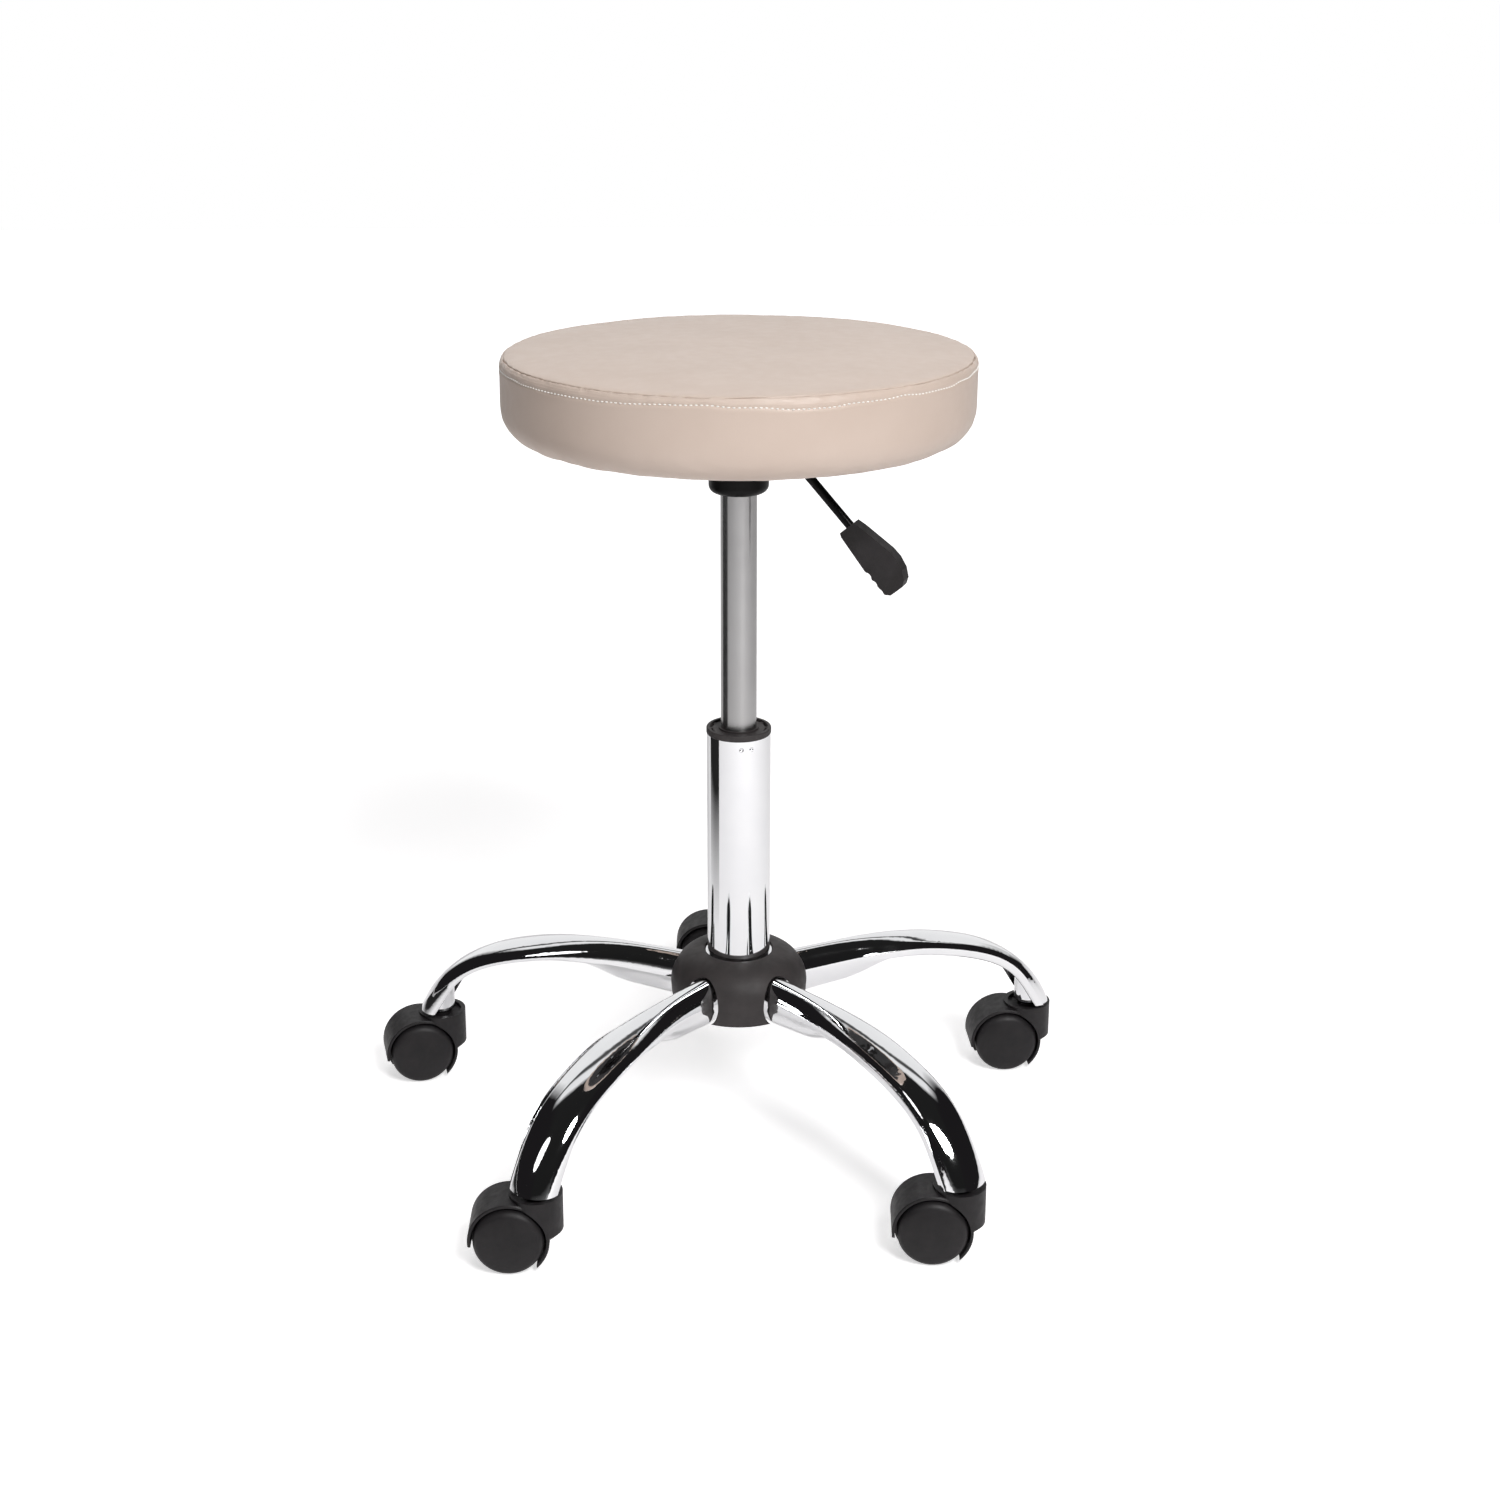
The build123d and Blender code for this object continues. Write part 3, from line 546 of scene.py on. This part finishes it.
def stitch_row(cover, thread):
    """One row of lock stitches round the band, laid on the finished cover."""
    low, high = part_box("seat_cover")
    seat_radius = (high.x - low.x) / 2
    surface = BVHTree.FromObject(cover, bpy.context.evaluated_depsgraph_get())
    count = round(2 * math.pi * seat_radius / STITCH_PITCH)
    verts = []
    faces = []
    for index in range(count):
        angle = 2 * math.pi * index / count
        height = high.z - STITCH_DROP + seam_wander(angle)
        outward = Vector((math.cos(angle), math.sin(angle), 0.0))
        along = Vector((-math.sin(angle), math.cos(angle), 0.0))
        tilt = Vector((0.0, 0.0, 0.10 * noise.noise(outward * 40)))
        start = outward * (seat_radius + 20 * MM) + Vector((0.0, 0.0, height))
        on_cover = surface.ray_cast(start, -outward)[0]
        add_stitch(verts, faces, on_cover, (along + tilt).normalized(), outward)
    row = mesh_object("stitches", verts, faces, thread)
    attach(row, "seat")


def add_stitch(verts, faces, middle, along, outward):
    """A short bowed thread whose ends dive into the vinyl."""
    across = along.cross(outward)
    sides = STITCH_SIDES
    last = STITCH_STATIONS - 1
    base = len(verts)
    for station in range(STITCH_STATIONS):
        share = 2 * station / last - 1
        thick = STITCH_RADIUS * math.sqrt(max(0.06, 1 - share * share * 0.92))
        bow = STITCH_RADIUS * (0.55 - 0.9 * share * share)
        centre = middle + along * (share * STITCH_LENGTH / 2) + outward * bow
        for side in range(sides):
            turn = 2 * math.pi * side / sides
            verts.append(centre + outward * (thick * math.cos(turn)) + across * (thick * math.sin(turn)))
    for station in range(last):
        for side in range(sides):
            here = base + station * sides + side
            beside = base + station * sides + (side + 1) % sides
            faces.append((here, beside, beside + sides, here + sides))
    faces.append(tuple(base + side for side in reversed(range(sides))))
    faces.append(tuple(base + last * sides + side for side in range(sides)))


def dust_cover(looks):
    """The black cloth stapled under the board, slack between its staples and the seat plate."""
    low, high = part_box("dust_cover")
    plate_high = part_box("seat_plate")[1]
    radius = (high.x - low.x) / 2
    plate_reach = math.hypot(plate_high.x, plate_high.y)
    rings = 60
    steps = 240
    profile = [(0.0, low.z)]
    profile += [(radius * ring / rings, low.z) for ring in range(1, rings + 1)]
    profile += [(radius * ring / rings, high.z) for ring in range(rings, 0, -1)]
    profile.append((0.0, high.z))
    verts, faces = revolve(profile, steps)
    shaped = []
    for corner in verts:
        point = Vector(corner)
        out = math.hypot(point.x, point.y)
        slack = max(0.0, min(1.0, (out - plate_reach - 2 * MM) / (12 * MM)))
        slack *= max(0.0, min(1.0, (radius - 4 * MM - out) / (14 * MM)))
        if point.z < (low.z + high.z) / 2:
            wave = 0.5 + 0.5 * noise.noise(point / DUST_COVER_SPACING)
            point.z -= DUST_COVER_SAG * slack * wave
        shaped.append(point)
    cloth = mesh_object("dust_cloth_sheet", shaped, faces, looks["dust_cloth"])
    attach(cloth, "seat")
    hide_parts("dust_cover")


# --- Studio --------------------------------------------------------------------------------------


def stage_look(name, colour, glow):
    """Matt paint for the studio, with an even white glow of its own."""
    return new_look(name, {"Base Color": colour, "Roughness": 0.9, "Emission Color": (1.0, 1.0, 1.0, 1.0),
                           "Emission Strength": glow, "Specular IOR Level": 0.1})


def clear_by(look, share):
    """Makes a look transparent where share is 1."""
    tree = look.node_tree
    clear = tree.nodes.new("ShaderNodeBsdfTransparent")
    mix = tree.nodes.new("ShaderNodeMixShader")
    connect(look, share, mix.inputs["Fac"])
    connect(look, shader_of(look).outputs["BSDF"], mix.inputs[1])
    connect(look, clear.outputs["BSDF"], mix.inputs[2])
    connect(look, mix.outputs["Shader"], tree.nodes["Material Output"].inputs["Surface"])


def see_through_from_below(look):
    """Lets a camera under the floor see the object."""
    side = look.node_tree.nodes.new("ShaderNodeNewGeometry")
    clear_by(look, side.outputs["Backfacing"])


def glow_by_path(look, near, far, mirrored):
    """Gives the floor a glow that whitens into the backdrop, and a lower one where the object mirrors it."""
    tree = look.node_tree
    length = tree.nodes.new("ShaderNodeVectorMath")
    length.operation = "LENGTH"
    connect(look, place_of(look), length.inputs[0])
    seen = remap(look, length.outputs["Value"], near, far, *FLOOR_FADE)
    path = tree.nodes.new("ShaderNodeLightPath")
    mix = tree.nodes.new("ShaderNodeMix")
    mix.inputs["A"].default_value = mirrored
    connect(look, seen, mix.inputs["B"])
    connect(look, path.outputs["Is Camera Ray"], mix.inputs["Factor"])
    connect(look, mix.outputs["Result"], shader_of(look).inputs["Emission Strength"])


def make_floor():
    """A white floor that whitens into the backdrop."""
    look = stage_look("studio_floor", FLOOR_COLOUR, FLOOR_GLOW)
    glow_by_path(look, FLOOR_GLOW, FLOOR_GLOW_FAR, FLOOR_GLOW_MIRRORED)
    see_through_from_below(look)
    half = FLOOR_HALF
    corners = [(-half, -half, 0.0), (half, -half, 0.0), (half, half, 0.0), (-half, half, 0.0)]
    floor = mesh_object("studio_floor", corners, [(0, 1, 2, 3)], look)


def dark_floor():
    """A dark patch on the floor to the left that only mirrors see, fading out towards the stool."""
    look = stage_look("dark_floor_left", DARK_FLOOR_COLOUR, 0.0)
    apart = look.node_tree.nodes.new("ShaderNodeSeparateXYZ")
    connect(look, place_of(look), apart.inputs["Vector"])
    clear_by(look, remap(look, apart.outputs["X"], 0.0, 1.0, *DARK_FLOOR_FADE))
    corners = [(*corner, DARK_FLOOR_LIFT) for corner in DARK_FLOOR_CORNERS]
    card = mesh_object("dark_floor_left", corners, [(0, 1, 2, 3)], look)
    card.visible_camera = False
    card.visible_diffuse = False
    card.visible_shadow = False


def soft_box(name, place, size, power):
    """An oval area light that faces the middle of the stool."""
    data = bpy.data.lights.new(name, "AREA")
    data.shape = "ELLIPSE"
    data.size = size[0]
    data.size_y = size[1]
    data.energy = power
    light = bpy.data.objects.new(name, data)
    light.location = place
    light.rotation_mode = "QUATERNION"
    light.rotation_quaternion = (Vector(LIGHT_TARGET) - Vector(place)).to_track_quat("-Z", "Y")
    light.visible_camera = False
    bpy.context.scene.collection.objects.link(light)
    return light


def world_maths(tree, operation, *sources):
    """A maths node in the world's shader, fed by sockets or plain numbers."""
    node = tree.nodes.new("ShaderNodeMath")
    node.operation = operation
    for socket, source in zip(node.inputs, sources):
        if isinstance(source, float):
            socket.default_value = source
        else:
            tree.links.new(source, socket)
    return node.outputs["Value"]


def world_mix(tree, share, first, second):
    """The colour first, turning into the plain colour second as share goes to 1."""
    mix = tree.nodes.new("ShaderNodeMix")
    mix.data_type = "RGBA"
    mix.inputs["B"].default_value = second
    tree.links.new(share, mix.inputs["Factor"])
    tree.links.new(first, mix.inputs["A"])
    return mix.outputs["Result"]


def world_band(tree, height, stops):
    """Grey by direction: stops are (angle from the back horizon over the top to the front, grey)."""
    ramp = tree.nodes.new("ShaderNodeValToRGB")
    ramp.color_ramp.interpolation = "LINEAR"
    elements = ramp.color_ramp.elements
    while len(elements) > 1:
        elements.remove(elements[-1])
    elements[0].position = stops[0][0] / 180
    elements[0].color = (stops[0][1],) * 3 + (1.0,)
    for angle, grey in stops[1:]:
        element = elements.new(angle / 180)
        element.color = (grey, grey, grey, 1.0)
    tree.links.new(height, ramp.inputs["Fac"])
    return ramp.outputs["Color"]


def make_world():
    """A white backdrop behind, a lit strip overhead and the dark of the room in front and at the sides."""
    world = bpy.data.worlds.new("studio")
    world.use_nodes = True
    bpy.context.scene.world = world
    tree = world.node_tree
    coordinates = tree.nodes.new("ShaderNodeTexCoord")
    split = tree.nodes.new("ShaderNodeSeparateXYZ")
    tree.links.new(coordinates.outputs["Generated"], split.inputs["Vector"])
    turn = world_maths(tree, "ARCTAN2", split.outputs["Z"], split.outputs["Y"])
    band = world_band(tree, world_maths(tree, "DIVIDE", turn, math.pi), ROOM_GREYS)
    fade = tree.nodes.new("ShaderNodeMapRange")
    fade.inputs["From Min"].default_value, fade.inputs["From Max"].default_value = BACKDROP_EDGE
    tree.links.new(world_maths(tree, "ABSOLUTE", split.outputs["X"]), fade.inputs["Value"])
    room = world_mix(tree, fade.outputs["Result"], band, ROOM_COLOUR)
    path = tree.nodes.new("ShaderNodeLightPath")
    seen = world_mix(tree, path.outputs["Is Camera Ray"], room, (1.0, 1.0, 1.0, 1.0))
    background = tree.nodes["Background"]
    background.inputs["Strength"].default_value = 1.0
    tree.links.new(seen, background.inputs["Color"])


def make_studio():
    """Backdrop, floor and lights. The large light overhead shows in no mirror."""
    bpy.context.scene.view_settings.view_transform = "Standard"
    make_world()
    make_floor()
    dark_floor()
    soft_box("soft_box_right", (0.98, -2.15, 2.35), (1.0, 1.4), 80.0)
    top_light = soft_box("top_light", (0.0, 0.1, 2.6), (1.6, 1.6), 14.0)
    top_light.visible_glossy = False
    soft_box("soft_box_left", (-1.9, -1.6, 2.1), (1.0, 1.4), 7.0)


def make_camera():
    """The camera, turned about the column and pitched down to the stool."""
    data = bpy.data.cameras.new("camera")
    data.sensor_width = CAMERA_SENSOR
    data.lens = CAMERA_LENS
    data.shift_x, data.shift_y = CAMERA_SHIFT
    camera = bpy.data.objects.new("camera", data)
    turn = math.radians(CAMERA_AZIMUTH)
    camera.location = (CAMERA_DISTANCE * math.sin(turn), -CAMERA_DISTANCE * math.cos(turn), CAMERA_HEIGHT)
    camera.rotation_euler = (math.radians(90 - CAMERA_PITCH), 0.0, turn)
    bpy.context.scene.collection.objects.link(camera)
    bpy.context.scene.camera = camera


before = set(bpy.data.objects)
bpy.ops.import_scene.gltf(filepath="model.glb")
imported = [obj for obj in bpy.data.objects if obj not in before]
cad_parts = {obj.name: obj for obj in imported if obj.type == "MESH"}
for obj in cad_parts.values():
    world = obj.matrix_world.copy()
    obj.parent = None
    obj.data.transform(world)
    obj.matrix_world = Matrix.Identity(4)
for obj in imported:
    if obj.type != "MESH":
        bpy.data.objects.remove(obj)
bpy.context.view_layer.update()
looks = make_looks()
dress_frame(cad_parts, looks)
cover = seat_cover(looks)
stitch_row(cover, thread_look())
dust_cover(looks)
make_studio()
make_camera()
